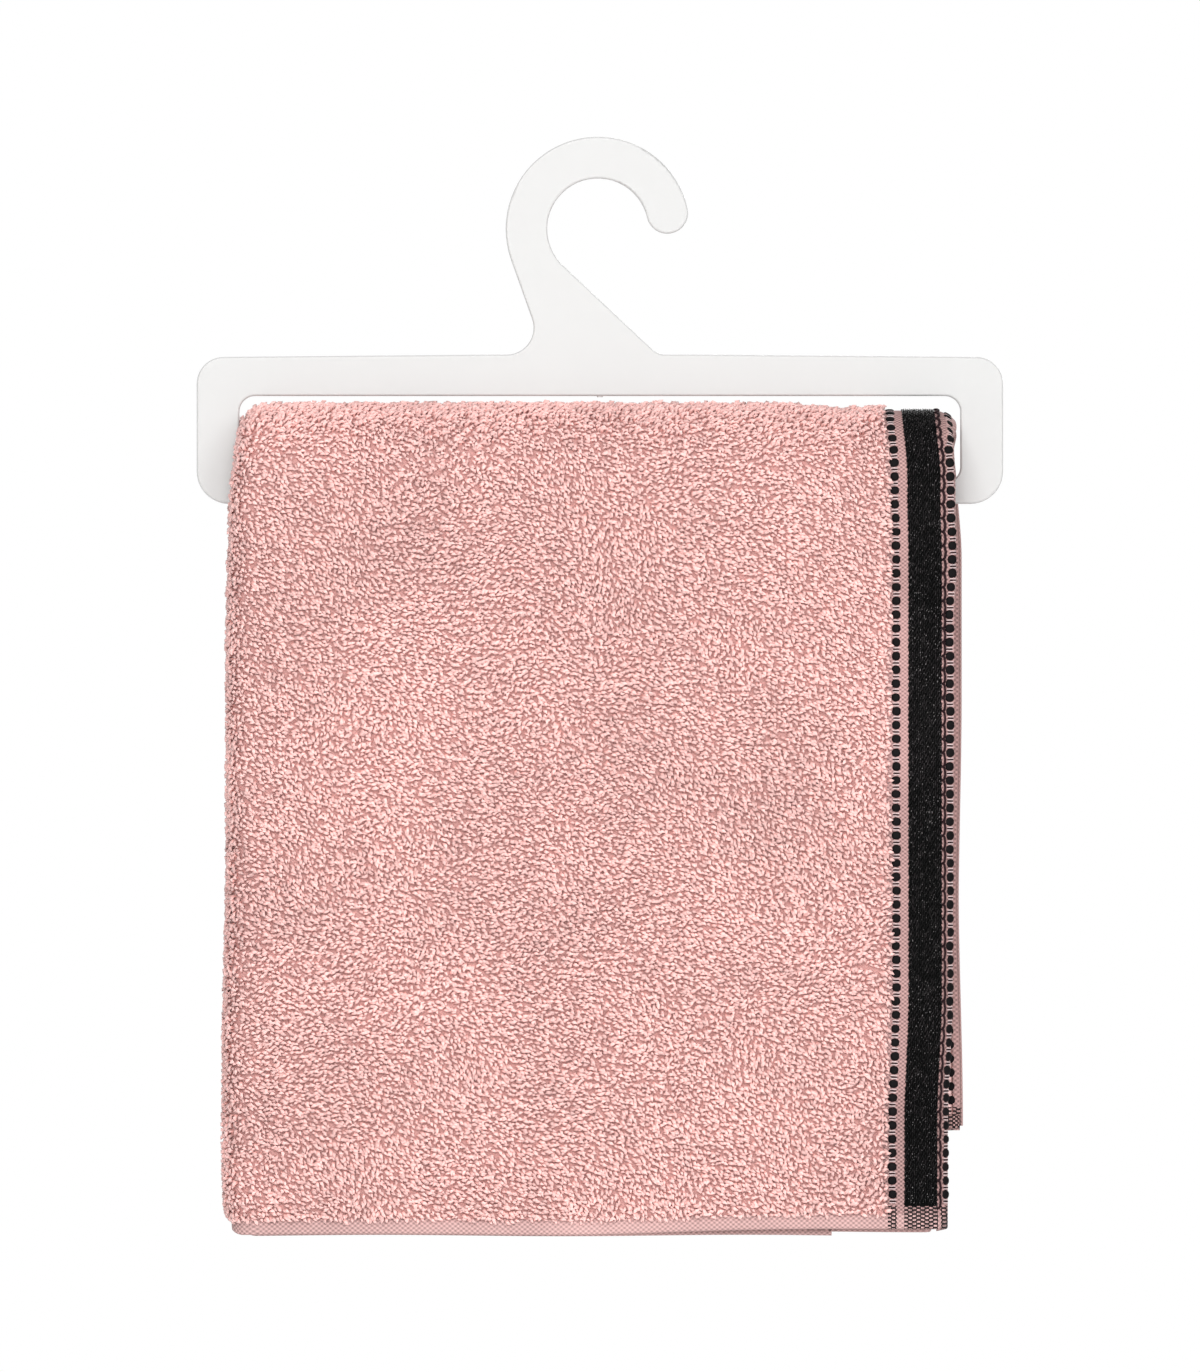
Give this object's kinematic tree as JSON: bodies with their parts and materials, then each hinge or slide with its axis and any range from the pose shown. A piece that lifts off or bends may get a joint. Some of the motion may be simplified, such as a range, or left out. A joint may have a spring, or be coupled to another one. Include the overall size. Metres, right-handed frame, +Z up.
{
  "type": "bath towel set",
  "caption": "Pink terry bath towel with a woven black border, folded over the lower bar of a flat plastic display hanger with a hook.",
  "frame": {"origin": "centre of the rail that the hook hangs on, in the middle of the hanger's thickness", "axes": "+Z up along the towel's drop, +Y towards the back, through the hook's seat, -Y the front, +X to the viewer's right"},
  "size_m": [0.3474, 0.0628, 0.4729],
  "materials": {
    "hanger_plastic": "satin",
    "terry": "matte",
    "border_weave": "satin",
    "hem_weave": "matte"
  },
  "bodies": {
    "hanger": {"crown_border": "border_weave", "crown_end_strip": "hem_weave", "crown_free_end_hem": "hem_weave", "crown_leaf_1": "terry", "crown_leaf_2": "terry", "crown_leaf_3": "terry", "crown_leaf_4": "terry", "hanger_frame": "hanger_plastic"},
    "front_drop": {"front_border": "border_weave", "front_end_strip": "hem_weave", "front_free_end_hem": "hem_weave", "front_leaf_1": "terry", "front_leaf_2": "terry", "front_leaf_3": "terry", "front_leaf_4": "terry", "front_side_hem": "hem_weave"},
    "back_drop": {"back_border": "border_weave", "back_end_strip": "hem_weave", "back_free_end_hem": "hem_weave", "back_leaf_1": "terry", "back_leaf_2": "terry", "back_leaf_3": "terry", "back_leaf_4": "terry", "back_side_hem": "hem_weave"}
  },
  "joints": [
    {"name": "lift_front_drop", "type": "hinge", "parent": "hanger", "child": "front_drop", "pos_m": [0, -0.0314, -0.113], "axis": [-1, 0, 0], "range_deg": [0, 80]},
    {"name": "lift_back_drop", "type": "hinge", "parent": "hanger", "child": "back_drop", "pos_m": [0, 0.0314, -0.113], "axis": [1, 0, 0], "range_deg": [0, 80]}
  ]
}
